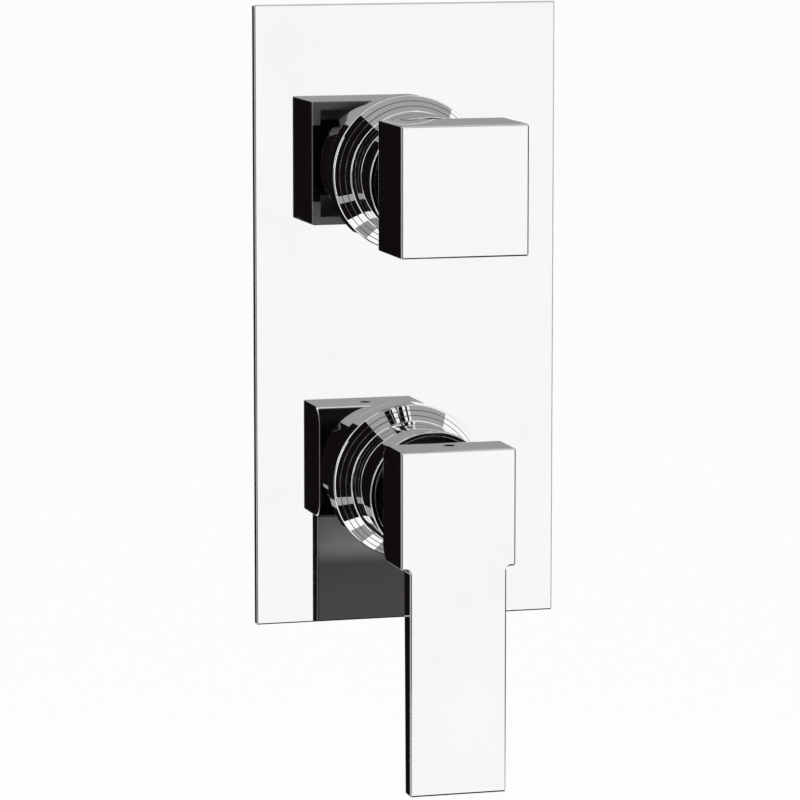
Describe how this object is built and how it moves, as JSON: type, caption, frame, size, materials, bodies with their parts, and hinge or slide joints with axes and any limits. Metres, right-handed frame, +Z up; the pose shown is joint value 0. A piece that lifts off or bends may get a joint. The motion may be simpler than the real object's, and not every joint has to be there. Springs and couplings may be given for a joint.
{
  "type": "shower mixer",
  "caption": "Concealed shower mixer: flat rectangular cover plate, turned sleeves, square diverter knob above and a flat hanging lever below, on a brass valve body.",
  "frame": {"origin": "centre of the two fixing holes, on the flat back of the valve body's ears", "axes": "+X to the right as seen from the room, +Y into the wall, +Z up"},
  "size_m": [0.11, 0.1275, 0.27],
  "materials": {
    "chrome_trim": "mirror polished",
    "cast_brass": "as cast and turned",
    "cartridge_plastic": "moulded",
    "ceramic_disc": "lapped",
    "seal_rubber": "matt",
    "steel_small": "bright",
    "gasket_rubber": "moulded, fine grain"
  },
  "bodies": {
    "body": {"valve_body": "cast_brass", "cover_plate": "chrome_trim", "plate_gasket": "gasket_rubber", "lever_sleeve": "chrome_trim", "diverter_sleeve": "chrome_trim", "lever_sleeve_seal": "seal_rubber", "diverter_sleeve_seal": "seal_rubber", "cartridge_housing": "cartridge_plastic", "cartridge_base": "cartridge_plastic", "cartridge_seals": "seal_rubber", "fixed_disc": "ceramic_disc", "cartridge_nut": "cast_brass", "diverter_headwork": "cast_brass", "diverter_gasket": "seal_rubber", "diverter_fixed_disc": "ceramic_disc"},
    "turret": {"turret": "cartridge_plastic", "turret_ring": "seal_rubber", "pivot_pin": "steel_small"},
    "lever": {"lever": "chrome_trim", "spindle": "steel_small", "lever_grub_screw": "steel_small"},
    "disc": {"disc_carrier": "cartridge_plastic", "moving_disc": "ceramic_disc"},
    "diverter": {"diverter_knob": "chrome_trim", "diverter_spindle": "cast_brass", "knob_grub_screw": "steel_small", "diverter_moving_disc": "ceramic_disc", "diverter_spindle_ring": "seal_rubber", "diverter_clip": "steel_small"}
  },
  "joints": [
    {"name": "lever_turn", "type": "hinge", "parent": "body", "child": "turret", "pos_m": [0, -0.081, -0.06], "axis": [0, 1, 0], "range_deg": [-50, 50]},
    {"name": "lever_lift", "type": "hinge", "parent": "turret", "child": "lever", "pos_m": [0, -0.081, -0.06], "axis": [-1, 0, 0], "range_deg": [0, 25]},
    {"name": "disc_slide", "type": "slide", "parent": "turret", "child": "disc", "axis": [0, 0, -1], "range_m": [0, 0.0051]},
    {"name": "diverter_turn", "type": "hinge", "parent": "body", "child": "diverter", "pos_m": [0, -0.081, 0.05], "axis": [0, 1, 0], "range_deg": [0, 90]}
  ],
  "couplings": [
    {"joint": "disc_slide", "follows": "lever_lift", "m_per_rad": 0.011623}
  ]
}
